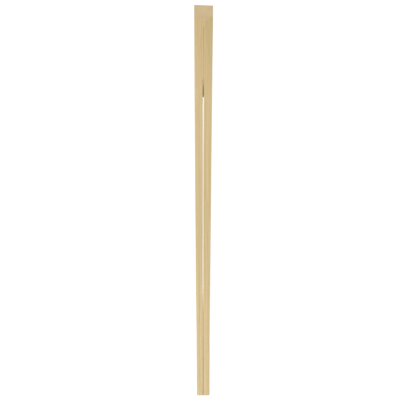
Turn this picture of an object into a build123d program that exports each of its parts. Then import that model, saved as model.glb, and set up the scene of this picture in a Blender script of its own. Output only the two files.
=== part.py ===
"""A pair of disposable bamboo chopsticks with a slant-cut head, not yet split.

The pair is one piece of bamboo. It lies on its flat back: X runs across the two sticks,
Y runs along them with the joined head at +Y, and Z points up out of the front face, which
carries the slanted cut. The origin is the middle of the footprint. Millimetres.
"""

from build123d import *
import os
from math import sqrt

os.makedirs("parts", exist_ok=True)

# Bar that both sticks are cut from, and how far its middle bows towards the left stick
length = 240.0
head_width = 11.7
head_thickness = 4.6
tip_thickness = 3.9
bow = 0.24

# The planed shoulders of the head run out at the neck, where the slim legs begin
neck_distance = 62.0

# Width over both legs where they start to close, where they are pressed together, at the tips
closing_width = 8.73
pressed_width = 8.03
tip_width = 7.66

# Front bevels of the left and right stick: ridge from the centre line, drop at the outer edge
head_left_ridge = 2.2
head_left_drop = 1.45
head_right_ridge = 1.2
head_right_drop = 1.0
neck_left_ridge = 3.7
neck_left_drop = 0.5
neck_right_ridge = 2.6
neck_right_drop = 0.45
tip_ridge = 2.9
tip_drop = 0.4

# Rounding of the ridges and of the long outer corners, and the eased ends of the tips
head_ridge_radius = 6.0
neck_ridge_radius = 2.5
tip_ridge_radius = 1.5
shoulder_radius = 0.45
back_chamfer = 0.5
tip_ease = 0.3

# Slanted cut across the head, and how far the head's end is out of square
slant_length = 9.9
head_end_thickness = 1.2
head_skew = 0.45

# Splitting grooves down the front and the back, from the head to the saw cut
groove_start = 14.0
groove_width = 0.46
groove_depth = 0.26
groove_end_width = 0.32
groove_end_depth = 0.16

# Saw cut that frees the legs: a round blade comes in from the front and past the back
kerf_width = 0.72
kerf_front_start = 46.0
kerf_parallel_length = 16.0
blade_radius = 50.0
blade_overcut = 1.8

# Gap below the saw cut: its width at the end of each span, until the legs touch and are pressed
upper_gap = 0.54
upper_span = 26.0
middle_gap = 0.42
middle_span = 16.0
lower_gap = 0.45
lower_span = 56.0
closing_gap = 0.43
closing_span = 14.0
touch_gap = 0.02
touch_span = 15.0
pressed_span = 13.0

# Chamfer along the inner edges of the legs, steeper where the tips are pressed together
leg_chamfer_width = 0.12
leg_chamfer_depth = 0.12
touch_chamfer_width = 0.19
touch_chamfer_depth = 0.42

# How far the cutting shapes reach past what they cut
overrun = 1.0


def along(distance):
    """Y of a place that lies a distance from the end of the head."""
    return length / 2 - distance


def station(distance):
    """Plane across the pair, with its origin under the bowed centre line and the front up."""
    middle = -4 * bow * distance * (length - distance) / length**2
    return Plane(origin=(middle, along(distance), 0), x_dir=(1, 0, 0), z_dir=(0, -1, 0))


def between(start, end, share):
    return start + (end - start) * share


def thickness_at(distance):
    return between(head_thickness, tip_thickness, distance / length)


def bar_section(
    distance, width, left_ridge, left_drop, right_ridge, right_drop, ridge_radius, inset=0
):
    """Flat back, upright sides and a front that falls away from two soft ridges."""
    top = thickness_at(distance)
    with BuildSketch(station(distance)) as section:
        with BuildLine():
            Polyline(
                (-width / 2 + back_chamfer, 0),
                (width / 2 - back_chamfer, 0),
                (width / 2, back_chamfer),
                (width / 2, top - right_drop),
                (right_ridge, top),
                (-left_ridge, top),
                (-width / 2, top - left_drop),
                (-width / 2, back_chamfer),
                close=True,
            )
        make_face()
        fillet(section.vertices().sort_by(Axis.Y)[-4:-2], shoulder_radius)
        fillet(section.vertices().sort_by(Axis.Y)[-2:], ridge_radius)
        if inset:
            offset(amount=-inset, mode=Mode.REPLACE)
    return section.sketch


def leg_section(distance, width, inset=0):
    """Section of the legs, whose bevels change evenly from the neck to the tips."""
    share = (distance - neck_distance) / (length - neck_distance)
    return bar_section(
        distance,
        width,
        between(neck_left_ridge, tip_ridge, share),
        between(neck_left_drop, tip_drop, share),
        between(neck_right_ridge, tip_ridge, share),
        between(neck_right_drop, tip_drop, share),
        between(neck_ridge_radius, tip_ridge_radius, share),
        inset,
    )


def groove_section(distance, surface, width, depth, outward):
    """V in a surface at the given height, open upwards for outward 1 and downwards for -1."""
    flare = width / 2 * (depth + overrun) / depth
    mouth = surface + outward * overrun
    with BuildSketch(station(distance)) as section:
        with BuildLine():
            Polyline((0, surface - outward * depth), (flare, mouth), (-flare, mouth), close=True)
        make_face()
    return section.sketch


def gap_section(distance, gap, chamfer_width, chamfer_depth):
    """Upright slot that flares at the front and the back, where the edges are chamfered."""
    top = thickness_at(distance)
    flare = chamfer_width * (1 + overrun / chamfer_depth)
    with BuildSketch(station(distance)) as section:
        with BuildLine():
            wall = Polyline(
                (0, -overrun),
                (gap / 2 + flare, -overrun),
                (gap / 2, chamfer_depth),
                (gap / 2, top - chamfer_depth),
                (gap / 2 + flare, top + overrun),
                (0, top + overrun),
            )
            mirror(wall, about=Plane.YZ)
        make_face()
    return section.sketch


# Distances from the head of the places that the spans lead to
kerf_parallel_end = kerf_front_start + kerf_parallel_length
upper_distance = kerf_parallel_end + upper_span
middle_distance = upper_distance + middle_span
lower_distance = middle_distance + lower_span
closing_distance = lower_distance + closing_span
touch_distance = closing_distance + touch_span
pressed_distance = touch_distance + pressed_span

# The blade's centre: its height over the back, and its distance from the head that puts
# the front end of the cut where it belongs, so that the back end follows
blade_height = blade_radius - blade_overcut
front_drop = blade_height - thickness_at(kerf_front_start)
blade_distance = kerf_front_start + sqrt(blade_radius**2 - front_drop**2)
kerf_back_start = blade_distance - sqrt(blade_radius**2 - blade_height**2)

# Space between the legs: the saw cut and the gap below it, and seen from the side the
# blade's round run-out
with BuildPart() as leg_gap:
    leg_chamfer = (leg_chamfer_width, leg_chamfer_depth)
    touch_chamfer = (touch_chamfer_width, touch_chamfer_depth)
    loft(
        [
            gap_section(kerf_front_start - overrun, kerf_width, *leg_chamfer),
            gap_section(kerf_parallel_end, kerf_width, *leg_chamfer),
            gap_section(upper_distance, upper_gap, *leg_chamfer),
            gap_section(middle_distance, middle_gap, *leg_chamfer),
            gap_section(lower_distance, lower_gap, *leg_chamfer),
            gap_section(closing_distance, closing_gap, *leg_chamfer),
            gap_section(touch_distance, touch_gap, *touch_chamfer),
            gap_section(length + overrun, touch_gap, *touch_chamfer),
        ],
        ruled=True,
    )
    with BuildSketch(Plane.YZ):
        with Locations((along(blade_distance), blade_height)):
            Circle(blade_radius)
        with Locations((along(blade_distance), -overrun)):
            Rectangle(length, blade_height + blade_radius, align=(Align.MAX, Align.MIN))
    extrude(amount=head_width, both=True, mode=Mode.INTERSECT)

with BuildPart() as chopsticks:
    neck_width = between(head_width, closing_width, neck_distance / closing_distance)
    loft(
        [
            bar_section(
                0,
                head_width,
                head_left_ridge,
                head_left_drop,
                head_right_ridge,
                head_right_drop,
                head_ridge_radius,
            ),
            leg_section(neck_distance, neck_width),
            leg_section(closing_distance, closing_width),
            leg_section(pressed_distance, pressed_width),
            leg_section(length - tip_ease, tip_width),
            leg_section(length, tip_width, inset=tip_ease),
        ],
        ruled=True,
    )

    # Slanted cut across the front of the head
    slant_top = thickness_at(slant_length)
    slant_rise = (slant_top - head_end_thickness) / slant_length * overrun
    with BuildSketch(Plane.YZ):
        with BuildLine():
            Polyline(
                (along(-overrun), head_end_thickness - slant_rise),
                (along(-overrun), slant_top + slant_rise),
                (along(slant_length + overrun), slant_top + slant_rise),
                close=True,
            )
        make_face()
    extrude(amount=head_width, both=True, mode=Mode.SUBTRACT)

    # End of the head, sawn a little out of square so that the left stick is the longer
    with BuildSketch():
        with BuildLine():
            Polyline(
                (-head_width / 2, along(0)),
                (head_width / 2, along(head_skew)),
                (head_width / 2, along(0)),
                close=True,
            )
        make_face()
    extrude(amount=head_thickness, mode=Mode.SUBTRACT)

    # Splitting grooves, shallower towards the saw cut that they lead to
    groove_top = thickness_at(groove_start)
    front_groove_end = kerf_front_start + overrun
    front_groove_top = thickness_at(front_groove_end)
    back_groove_end = kerf_back_start + overrun
    loft(
        [
            groove_section(groove_start, groove_top, groove_width, groove_depth, 1),
            groove_section(
                front_groove_end, front_groove_top, groove_end_width, groove_end_depth, 1
            ),
        ],
        mode=Mode.SUBTRACT,
    )
    loft(
        [
            groove_section(groove_start, 0, groove_width, groove_depth, -1),
            groove_section(back_groove_end, 0, groove_end_width, groove_end_depth, -1),
        ],
        mode=Mode.SUBTRACT,
    )

    add(leg_gap.part, mode=Mode.SUBTRACT)

chopsticks.part.label = "chopsticks"
export_step(chopsticks.part, "parts/chopsticks.step")
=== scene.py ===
"""Looks for an unsplit pair of bamboo chopsticks: bamboo material, camera, floor and lights.

Lengths are metres in the CAD frame: X across the sticks, Y along them towards the head, Z up.
Inside the bamboo material they are millimetres, and "down" is the distance from the head's end.
A fade is a smooth step, and its two numbers are where it is 0 and where it is 1.
"""

from math import cos, pi, radians, sin
from types import SimpleNamespace

import bpy
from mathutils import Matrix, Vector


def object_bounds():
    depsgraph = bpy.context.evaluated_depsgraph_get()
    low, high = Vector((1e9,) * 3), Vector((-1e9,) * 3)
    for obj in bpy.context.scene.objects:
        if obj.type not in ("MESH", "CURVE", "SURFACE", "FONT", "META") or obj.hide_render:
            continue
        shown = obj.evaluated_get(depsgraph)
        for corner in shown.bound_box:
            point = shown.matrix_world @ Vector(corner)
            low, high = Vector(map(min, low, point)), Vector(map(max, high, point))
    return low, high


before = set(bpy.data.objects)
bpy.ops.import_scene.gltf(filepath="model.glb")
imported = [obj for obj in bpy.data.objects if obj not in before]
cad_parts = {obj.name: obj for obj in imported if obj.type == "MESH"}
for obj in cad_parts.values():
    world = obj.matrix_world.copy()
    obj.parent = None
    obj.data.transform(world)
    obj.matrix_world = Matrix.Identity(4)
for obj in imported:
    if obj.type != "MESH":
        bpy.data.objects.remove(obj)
cad_low, cad_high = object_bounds()

MM = 0.001
PER_METRE = 1000.0
WHITE = (1.0, 1.0, 1.0, 1.0)

# The pair, in millimetres: what the material needs to know of its form
HEAD_END = cad_high[1] * PER_METRE
LENGTH = (cad_high[1] - cad_low[1]) * PER_METRE
BOW = 0.24
SLANT_LENGTH = 9.9
SLANT_THIN_END = 1.2
SLANT_SLOPE = 0.341
KERF_START = 46.0
HEAD_THICKNESS = 4.6
TIP_THICKNESS = 3.9

# Fades of the cut faces: height over the slanted cut, and distance down the length
ON_SLANT_FADE = (-0.14, -0.04)
SLANT_FOOT_FADE = (SLANT_LENGTH + 0.3, SLANT_LENGTH)
HEAD_END_FADE = (0.6, 0.45)
TIP_END_FADE = (LENGTH - 0.35, LENGTH - 0.2)

# Fades of the saw cut and the gap: distance from the centre line, depth under the front,
# height over the back, and distance down the length where they begin and where they close
KERF_WALL_FADE = (0.6, 0.45)
KERF_DEPTH_FADE = (0.2, 1.1)
KERF_BACK_FADE = (0.1, 0.4)
KERF_START_FADE = (KERF_START - 1, KERF_START)
KERF_CLOSE_FADE = (195.0, 175.0)

# Fades of the olive facet on the right of the head: across, and down the length
OLIVE_ACROSS_FADE = (1.8, 2.8)
OLIVE_START_FADE = (7.0, 12.0)
OLIVE_END_FADE = (58.0, 34.0)

# Base colours down the length, as linear light
TONES = [
    (0.00, (0.534, 0.392, 0.182)),
    (0.22, (0.600, 0.452, 0.226)),
    (0.55, (0.597, 0.460, 0.229)),
    (0.80, (0.650, 0.504, 0.262)),
    (1.00, (0.664, 0.514, 0.280)),
]

# Colours of single places, and how far the first two cover the base colour
CUT_TONE = (0.575, 0.447, 0.262)
CUT_COVER = 0.85
OLIVE_TONE = (0.530, 0.430, 0.195)
OLIVE_COVER = 0.35
# Painted light: the saw cut's walls are painted paler, for light that reaches down into the slot
KERF_PAINTED_LIGHT_TONE = (0.830, 0.675, 0.320)

# How a unit of tone changes red, green and blue: dark streaks are also browner
TINT = (0.78, 1.0, 1.8)

# Slow change of hue, warmer here and greener there: how it swings red, green and blue, and
# millimetres wide and long
HUE_SWING = (0.06, 0.0, 0.10)
HUE_WIDTH = 4.0
HUE_LENGTH = 24.0

# Slow sideways wander of the fibres: millimetres wide, long and sideways, and seed
WANDER_WIDTH = 9.0
WANDER_LENGTH = 60.0
WANDER = 0.5
WANDER_SEED = 3.7

# Grain as streaks of noise: millimetres wide and long, detail, roughness and tone
GRAIN = [
    (5.0, 180.0, 2.0, 0.5, 0.12),
    (1.3, 110.0, 2.0, 0.5, 0.16),
    (0.45, 60.0, 2.0, 0.5, 0.22),
    (0.16, 25.0, 3.0, 0.6, 0.20),
]

# Share of the grain's tone that the slanted cut, across the fibres, takes away
SLANT_GRAIN_LOSS = 0.6

# Fibre bundles: dots across the grain, drawn out along it. Millimetres apart sideways, dots
# in a millimetre of height at the back and how many more each millimetre up, randomness,
# the dots' edge as a share of the spacing, tone, and what the slanted cut adds to the tone
BUNDLE_SPACING = 0.80
BUNDLE_CROWDING = 0.85
BUNDLE_MORE_CROWDING = 0.12
BUNDLE_RANDOMNESS = 0.85
BUNDLE_FADE = (0.3, 0.14)
BUNDLE_TONE = -0.10
BUNDLE_SLANT_TONE = 0.05

# Marks that show one by one in the photograph: streaks and pale lines of the grain, a
# darker foot of the slanted cut, a nick, a scuff and a stain, painted shade in and right of the
# groove, at the nick's lip and heel and in the closed joint, and painted light along the gap's
# edges and over the joint: millimetres right of the centre line, start and end down the length,
# width and tone
MARKS = [
    ("left_head_line", -1.85, 16.0, 30.0, 0.8, -0.08),
    ("left_neck_line", -2.40, 24.0, 38.0, 0.9, -0.07),
    ("left_long_streak", -2.45, 66.0, 240.0, 1.0, -0.09),
    ("left_middle_streak", -2.40, 134.0, 200.0, 0.9, -0.11),
    ("left_middle_core", -2.45, 144.0, 176.0, 0.8, -0.07),
    ("left_outer_streak", -3.05, 188.0, 236.0, 1.0, -0.07),
    ("left_inner_streak", -1.80, 156.0, 190.0, 1.0, -0.06),
    ("left_pale_stripe", -1.80, 58.0, 106.0, 1.1, 0.07),
    ("left_neck_stripe", -3.40, 34.0, 70.0, 1.4, 0.07),
    ("left_outer_stripe", -3.05, 66.0, 126.0, 1.1, 0.09),
    ("left_gap_streak", -1.20, 76.0, 168.0, 0.9, -0.08),
    ("right_head_streak", 3.10, 10.0, 37.0, 1.0, -0.07),
    ("groove_shadow", 0.00, 13.0, 50.0, 0.6, -0.08),
    ("groove_light", -0.65, 10.0, 44.0, 0.7, 0.06),
    # Painted shade along the right side of the groove
    ("right_groove_shade", 0.92, 22.0, 60.0, 1.0, -0.13),
    ("right_neck_band", 2.20, 20.0, 48.0, 1.2, 0.07),
    ("right_leg_streak", 1.38, 52.0, 124.0, 0.9, -0.17),
    ("right_leg_tail", 1.36, 108.0, 190.0, 0.9, -0.11),
    ("right_pale_band", 2.70, 52.0, 124.0, 1.9, 0.09),
    ("right_outer_band", 3.80, 128.0, 216.0, 1.2, 0.08),
    ("right_outer_streak", 3.05, 136.0, 214.0, 1.0, -0.11),
    ("right_nick", 3.65, 140.1, 141.1, 0.9, 0.26),
    # Painted shade on either side of the nick
    ("right_nick_lip_shade", 3.50, 139.4, 140.2, 0.9, -0.12),
    ("right_nick_heel_shade", 3.40, 141.0, 141.9, 0.9, -0.12),
    ("left_scuff", -1.00, 176.4, 177.4, 2.2, 0.16),
    ("slant_foot", 0.00, 4.0, 10.5, 14.0, -0.05),
    ("left_outer_pale_line", -3.15, 124.0, 194.0, 0.8, 0.08),
    ("right_tip_band", 2.50, 176.0, 226.0, 1.4, 0.08),
    # Painted light along the edges of the gap, where the glowing floor shows through
    ("right_gap_light", 0.55, 90.0, 130.0, 0.6, 0.10),
    ("left_gap_light", -0.55, 162.0, 198.0, 0.6, 0.08),
    ("left_tip_light", -0.60, 212.0, 242.0, 0.6, 0.08),
    # Painted light over the closed joint, lifting the shade its chamfers cast
    ("joint_light", 0.00, 184.0, 214.0, 0.8, 0.09),
    ("joint_shadow", 0.00, 206.0, 242.0, 0.7, -0.11),
    ("corner_stain", 3.85, 236.5, 239.0, 1.2, -0.18),
]

# Marks lie near the front: fade over the depth under it. Their ends taper over this length,
# or over a third of the mark
MARK_DEPTH_FADE = (1.8, 0.3)
MARK_TAPER = 8.0

# Gloss: roughness of planed faces, its swing along streaks, and what cut faces add
ROUGHNESS = 0.5
ROUGHNESS_STREAK = (0.6, 20.0)
ROUGHNESS_SWING = 0.25
CUT_ROUGHNESS = 0.18

# Relief, in millimetres: fibres and their streaks, bundles, and the blade's marks on the
# cut faces with their width and length
FIBRE_RELIEF = 0.05
FIBRE_STREAK = (0.22, 14.0, 3.0, 0.6)
BUNDLE_RELIEF = 0.008
BLADE_RELIEF = 0.06
BLADE_WIDTH = 12.0
BLADE_LENGTH = 0.35

# Light that goes in and comes out again: its share, and its reach as red, green and blue
SUBSURFACE = 0.15
SUBSURFACE_RADIUS = (1.0, 0.6, 0.3)
SUBSURFACE_SCALE = 0.8 * MM


class Nodes:
    """Short calls that add nodes to one material. Each returns its output socket."""

    def __init__(self, material):
        self.tree = material.node_tree

    def add(self, kind, inputs, output=0, **settings):
        node = self.tree.nodes.new(kind)
        for name, value in settings.items():
            setattr(node, name, value)
        for name, value in inputs.items():
            if isinstance(value, bpy.types.NodeSocket):
                self.tree.links.new(value, node.inputs[name])
            else:
                node.inputs[name].default_value = value
        return node.outputs[output]

    def math(self, operation, first, second=0.0, third=0.0):
        return self.add("ShaderNodeMath", {0: first, 1: second, 2: third}, operation=operation)

    def product(self, *factors):
        result = factors[0]
        for factor in factors[1:]:
            result = self.math("MULTIPLY", result, factor)
        return result

    def vector(self, operation, first, second=(0.0, 0.0, 0.0), third=(0.0, 0.0, 0.0)):
        return self.add(
            "ShaderNodeVectorMath", {0: first, 1: second, 2: third}, operation=operation
        )

    def pack(self, x, y, z):
        return self.add("ShaderNodeCombineXYZ", {0: x, 1: y, 2: z})

    def fade(self, value, start, end):
        """A smooth step from 0 at start to 1 at end."""
        return self.add(
            "ShaderNodeMapRange", {0: value, 1: start, 2: end}, interpolation_type="SMOOTHSTEP"
        )

    def blend(self, factor, first, second):
        return self.add("ShaderNodeMix", {0: factor, 6: first, 7: second}, 2, data_type="RGBA")

    def noise(self, place, detail=2.0, roughness=0.5):
        """Noise about zero, mostly within half a unit each way."""
        raw = self.add(
            "ShaderNodeTexNoise",
            {"Vector": place, "Scale": 1.0, "Detail": detail, "Roughness": roughness},
        )
        return self.math("SUBTRACT", raw, 0.5)


def add_material(name):
    material = bpy.data.materials.new(name)
    material.use_nodes = True
    return material, material.node_tree.nodes["Principled BSDF"]


def opaque(colour):
    return (*colour, 1.0)


def add_places(nodes):
    """Places in the piece: across the bowed grain, down the length, up from the back."""
    place = nodes.add("ShaderNodeTexCoord", {}, "Object")
    in_mm = nodes.vector("MULTIPLY", place, (PER_METRE, PER_METRE, PER_METRE))
    straight_x, along, up = nodes.add("ShaderNodeSeparateXYZ", {0: in_mm}).node.outputs
    down = nodes.math("SUBTRACT", HEAD_END, along)
    fraction = nodes.math("DIVIDE", down, LENGTH)
    bulge = nodes.math("MULTIPLY", fraction, nodes.math("SUBTRACT", 1.0, fraction))
    across = nodes.math("MULTIPLY_ADD", bulge, 4 * BOW, straight_x)
    front = nodes.math("MULTIPLY_ADD", fraction, TIP_THICKNESS - HEAD_THICKNESS, HEAD_THICKNESS)
    wander_place = nodes.pack(
        nodes.math("DIVIDE", across, WANDER_WIDTH),
        nodes.math("DIVIDE", along, WANDER_LENGTH),
        WANDER_SEED,
    )
    return SimpleNamespace(
        across=across,
        wavy_across=nodes.math("MULTIPLY_ADD", nodes.noise(wander_place), WANDER, across),
        along=along,
        down=down,
        fraction=fraction,
        up=up,
        depth=nodes.math("SUBTRACT", front, up),
    )


def add_masks(nodes, place):
    """Masks: the slanted cut, all cut faces, the saw cut's walls, and the olive facet."""
    slant_rise = nodes.math("MULTIPLY", place.down, SLANT_SLOPE)
    over_thin_end = nodes.math("SUBTRACT", place.up, SLANT_THIN_END)
    over_slant = nodes.math("SUBTRACT", over_thin_end, slant_rise)
    on_slant = nodes.product(
        nodes.fade(over_slant, *ON_SLANT_FADE), nodes.fade(place.down, *SLANT_FOOT_FADE)
    )
    on_end = nodes.math(
        "MAXIMUM",
        nodes.fade(place.down, *HEAD_END_FADE),
        nodes.fade(place.down, *TIP_END_FADE),
    )
    off_centre = nodes.math("ABSOLUTE", place.across)
    return SimpleNamespace(
        on_slant=on_slant,
        cut=nodes.math("MAXIMUM", on_slant, on_end),
        in_kerf=nodes.product(
            nodes.fade(off_centre, *KERF_WALL_FADE),
            nodes.fade(place.depth, *KERF_DEPTH_FADE),
            nodes.fade(place.up, *KERF_BACK_FADE),
            nodes.fade(place.down, *KERF_START_FADE),
            nodes.fade(place.down, *KERF_CLOSE_FADE),
        ),
        olive=nodes.product(
            nodes.fade(place.across, *OLIVE_ACROSS_FADE),
            nodes.fade(place.down, *OLIVE_START_FADE),
            nodes.fade(place.down, *OLIVE_END_FADE),
        ),
    )


def add_streaks(nodes, place, width, length, detail=2.0, roughness=0.5):
    """Streaks of about a width and a length, as noise stretched along the grain."""
    stretched = nodes.pack(
        nodes.math("DIVIDE", place.wavy_across, width),
        nodes.math("DIVIDE", place.along, length),
        nodes.math("DIVIDE", place.up, width),
    )
    return nodes.noise(stretched, detail, roughness)


def add_bundles(nodes, place):
    """Fibre bundles, closer together near the front."""
    crowding = nodes.math("MULTIPLY_ADD", place.up, BUNDLE_MORE_CROWDING, BUNDLE_CROWDING)
    cells = nodes.pack(
        nodes.math("DIVIDE", place.wavy_across, BUNDLE_SPACING),
        nodes.math("MULTIPLY", place.up, crowding),
        0.0,
    )
    distance = nodes.add(
        "ShaderNodeTexVoronoi",
        {"Vector": cells, "Scale": 1.0, "Randomness": BUNDLE_RANDOMNESS},
        "Distance",
        voronoi_dimensions="2D",
    )
    return nodes.fade(distance, *BUNDLE_FADE)


def add_tone(nodes, place, masks, bundle):
    """How much paler or darker than the base colour: grain, bundles and marks together."""
    tone = 0.0
    for width, length, detail, roughness, strength in GRAIN:
        streaks = add_streaks(nodes, place, width, length, detail, roughness)
        tone = nodes.math("MULTIPLY_ADD", streaks, strength, tone)
    grain_share = nodes.math("MULTIPLY_ADD", masks.on_slant, -SLANT_GRAIN_LOSS, 1.0)
    tone = nodes.math("MULTIPLY", tone, grain_share)
    bundle_tone = nodes.math("MULTIPLY_ADD", masks.on_slant, BUNDLE_SLANT_TONE, BUNDLE_TONE)
    tone = nodes.math("MULTIPLY_ADD", bundle, bundle_tone, tone)
    near_front = nodes.fade(place.depth, *MARK_DEPTH_FADE)
    for name, across, start, end, width, strength in MARKS:
        aside = nodes.math("ABSOLUTE", nodes.math("SUBTRACT", place.across, across))
        taper = min(MARK_TAPER, (end - start) / 3)
        mark = nodes.product(
            nodes.fade(aside, width / 2, 0.0),
            near_front,
            nodes.fade(place.down, start, start + taper),
            nodes.fade(place.down, end, end - taper),
        )
        mark.node.label = name
        tone = nodes.math("MULTIPLY_ADD", mark, strength, tone)
    return tone


def add_base_colour(nodes, fraction):
    """The colour ramp down the length."""
    ramp_socket = nodes.add("ShaderNodeValToRGB", {0: fraction})
    ramp = ramp_socket.node.color_ramp
    ramp.elements[0].position = TONES[0][0]
    ramp.elements[1].position = TONES[-1][0]
    for position, colour in TONES[1:-1]:
        ramp.elements.new(position)
    for element, (position, colour) in zip(ramp.elements, TONES):
        element.color = opaque(colour)
    return ramp_socket


def add_colour(nodes, place, masks, tone):
    """The base colour with the cut faces, the olive facet, painted light on the saw cut's walls,
    the slow change of hue and the tone.
    """
    colour = add_base_colour(nodes, place.fraction)
    cut_cover = nodes.math("MULTIPLY", masks.cut, CUT_COVER)
    colour = nodes.blend(cut_cover, colour, opaque(CUT_TONE))
    olive_cover = nodes.math("MULTIPLY", masks.olive, OLIVE_COVER)
    colour = nodes.blend(olive_cover, colour, opaque(OLIVE_TONE))
    # Painted light: the saw cut's walls are made paler, for light reaching into the slot
    colour = nodes.blend(masks.in_kerf, colour, opaque(KERF_PAINTED_LIGHT_TONE))
    hue_place = nodes.pack(
        nodes.math("DIVIDE", place.across, HUE_WIDTH),
        nodes.math("DIVIDE", place.along, HUE_LENGTH),
        nodes.math("DIVIDE", place.up, HUE_WIDTH),
    )
    hue = nodes.vector("MULTIPLY_ADD", nodes.noise(hue_place), HUE_SWING, (1.0, 1.0, 1.0))
    colour = nodes.vector("MULTIPLY", colour, hue)
    tinted = nodes.vector("MULTIPLY_ADD", tone, TINT, (1.0, 1.0, 1.0))
    return nodes.vector("MULTIPLY", colour, tinted)


def add_roughness(nodes, place, dull):
    """Planed faces are satin, cut faces and the saw cut are dull."""
    streaks = add_streaks(nodes, place, *ROUGHNESS_STREAK)
    roughness = nodes.math("MULTIPLY_ADD", streaks, ROUGHNESS_SWING, ROUGHNESS)
    return nodes.math("MULTIPLY_ADD", dull, CUT_ROUGHNESS, roughness)


def add_bump(nodes, place, dull, bundle):
    """Relief of the fibres, the bundles and the blade's marks."""
    fibres = add_streaks(nodes, place, *FIBRE_STREAK)
    relief = nodes.math("MULTIPLY", fibres, FIBRE_RELIEF)
    relief = nodes.math("MULTIPLY_ADD", bundle, BUNDLE_RELIEF, relief)
    blade_place = nodes.pack(
        nodes.math("DIVIDE", place.across, BLADE_WIDTH),
        nodes.math("DIVIDE", place.along, BLADE_LENGTH),
        place.up,
    )
    blade = nodes.noise(blade_place, detail=3.0, roughness=0.6)
    relief = nodes.math("MULTIPLY_ADD", nodes.product(blade, dull), BLADE_RELIEF, relief)
    return nodes.add("ShaderNodeBump", {"Height": relief, "Distance": MM, "Strength": 1.0})


def bamboo_material():
    """Solid bamboo: grain runs through the piece along Y and shows on each face as it is cut."""
    material, shader = add_material("bamboo")
    nodes = Nodes(material)
    place = add_places(nodes)
    masks = add_masks(nodes, place)
    bundle = add_bundles(nodes, place)
    tone = add_tone(nodes, place, masks, bundle)
    dull = nodes.math("MAXIMUM", masks.cut, masks.in_kerf)

    links = material.node_tree.links
    links.new(add_colour(nodes, place, masks, tone), shader.inputs["Base Color"])
    links.new(add_roughness(nodes, place, dull), shader.inputs["Roughness"])
    links.new(add_bump(nodes, place, dull, bundle), shader.inputs["Normal"])
    shader.inputs["Subsurface Weight"].default_value = SUBSURFACE
    shader.inputs["Subsurface Radius"].default_value = SUBSURFACE_RADIUS
    shader.inputs["Subsurface Scale"].default_value = SUBSURFACE_SCALE
    return material


def add_floor():
    """A pale floor whose rim curves up out of sight, so that no view meets a horizon.

    It glows a little, like a light table, and throws no hard shadow.
    """
    flat_radius, rim_radius, rim_turn = 1.6, 0.8, radians(55)
    rings, spokes = 12, 96
    grey, roughness, glow = (0.12, 0.12, 0.12), 0.9, 0.93
    points = [(0.0, 0.0, 0.0)]
    for ring in range(rings + 1):
        turn = rim_turn * ring / rings
        radius = flat_radius + rim_radius * sin(turn)
        height = rim_radius * (1 - cos(turn))
        for spoke in range(spokes):
            angle = 2 * pi * spoke / spokes
            points.append((radius * cos(angle), radius * sin(angle), height))
    faces = [(0, 1 + spoke, 1 + (spoke + 1) % spokes) for spoke in range(spokes)]
    for ring in range(rings):
        inner = 1 + ring * spokes
        outer = inner + spokes
        for spoke in range(spokes):
            after = (spoke + 1) % spokes
            faces.append((inner + spoke, outer + spoke, outer + after, inner + after))
    mesh = bpy.data.meshes.new("floor")
    mesh.from_pydata(points, [], faces)
    mesh.shade_smooth()
    floor = bpy.data.objects.new("floor", mesh)
    bpy.context.scene.collection.objects.link(floor)
    material, shader = add_material("floor")
    shader.inputs["Base Color"].default_value = opaque(grey)
    shader.inputs["Roughness"].default_value = roughness
    shader.inputs["Emission Color"].default_value = WHITE
    shader.inputs["Emission Strength"].default_value = glow
    mesh.materials.append(material)


def add_lights():
    """Even white surroundings and one soft lamp overhead, a little to the left."""
    world = bpy.data.worlds.new("studio")
    world.use_nodes = True
    background = world.node_tree.nodes["Background"]
    background.inputs["Color"].default_value = WHITE
    background.inputs["Strength"].default_value = 0.7
    bpy.context.scene.world = world

    lamp_data = bpy.data.lights.new("key", "AREA")
    lamp_data.shape = "SQUARE"
    lamp_data.size = 0.8
    lamp_data.energy = 6.0
    lamp = bpy.data.objects.new("key", lamp_data)
    lamp.location = (-0.35, 0.1, 1.1)
    lamp.rotation_euler = (-lamp.location).to_track_quat("-Z", "Y").to_euler()
    bpy.context.scene.collection.objects.link(lamp)


def add_camera():
    """Straight above. The image is 400 pixels square, and the pair leans a little in it."""
    frame_pixels = 400
    pixel = 0.6143 * MM
    pixels_left = 3.44
    pixels_down = 0.2
    lean = radians(0.058)
    mean_height = 3 * MM
    camera_data = bpy.data.cameras.new("camera")
    camera_data.lens = 135.0
    camera_data.sensor_width = 36.0
    distance = frame_pixels * pixel * camera_data.lens / camera_data.sensor_width
    camera = bpy.data.objects.new("camera", camera_data)
    camera.location = (-pixels_left * pixel, -pixels_down * pixel, distance + mean_height)
    camera.rotation_euler = (0.0, 0.0, lean)
    bpy.context.scene.collection.objects.link(camera)
    bpy.context.scene.camera = camera


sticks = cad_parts["chopsticks"]
sticks.data.materials.clear()
sticks.data.materials.append(bamboo_material())
add_floor()
add_lights()
add_camera()
bpy.context.scene.view_settings.view_transform = "Standard"
